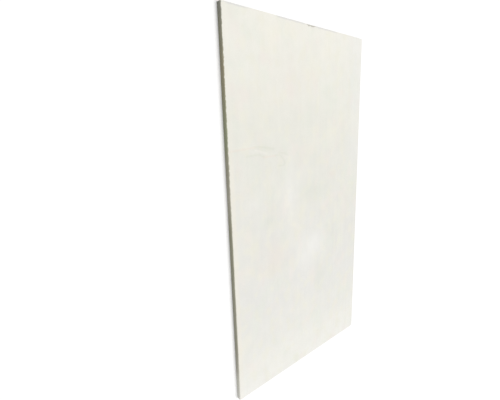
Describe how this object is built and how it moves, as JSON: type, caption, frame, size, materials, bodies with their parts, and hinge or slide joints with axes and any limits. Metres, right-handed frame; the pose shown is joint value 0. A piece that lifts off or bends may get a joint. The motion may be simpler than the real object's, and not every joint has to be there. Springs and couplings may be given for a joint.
{
  "type": "drywall sheet",
  "caption": "Flat square-edge sheet of paper-faced gypsum board, with rounded long edges, folded paper laps on the back and square-cut short ends.",
  "frame": {"origin": "middle of the back, on the surface that the sheet lies on", "axes": "+X across the width, +Y along the length, +Z out of the face, which lies upward"},
  "size_m": [0.6, 1.2, 0.015],
  "materials": {
    "board_paper": "matte"
  },
  "bodies": {
    "root": {"drywall_sheet": "board_paper"}
  },
  "joints": []
}
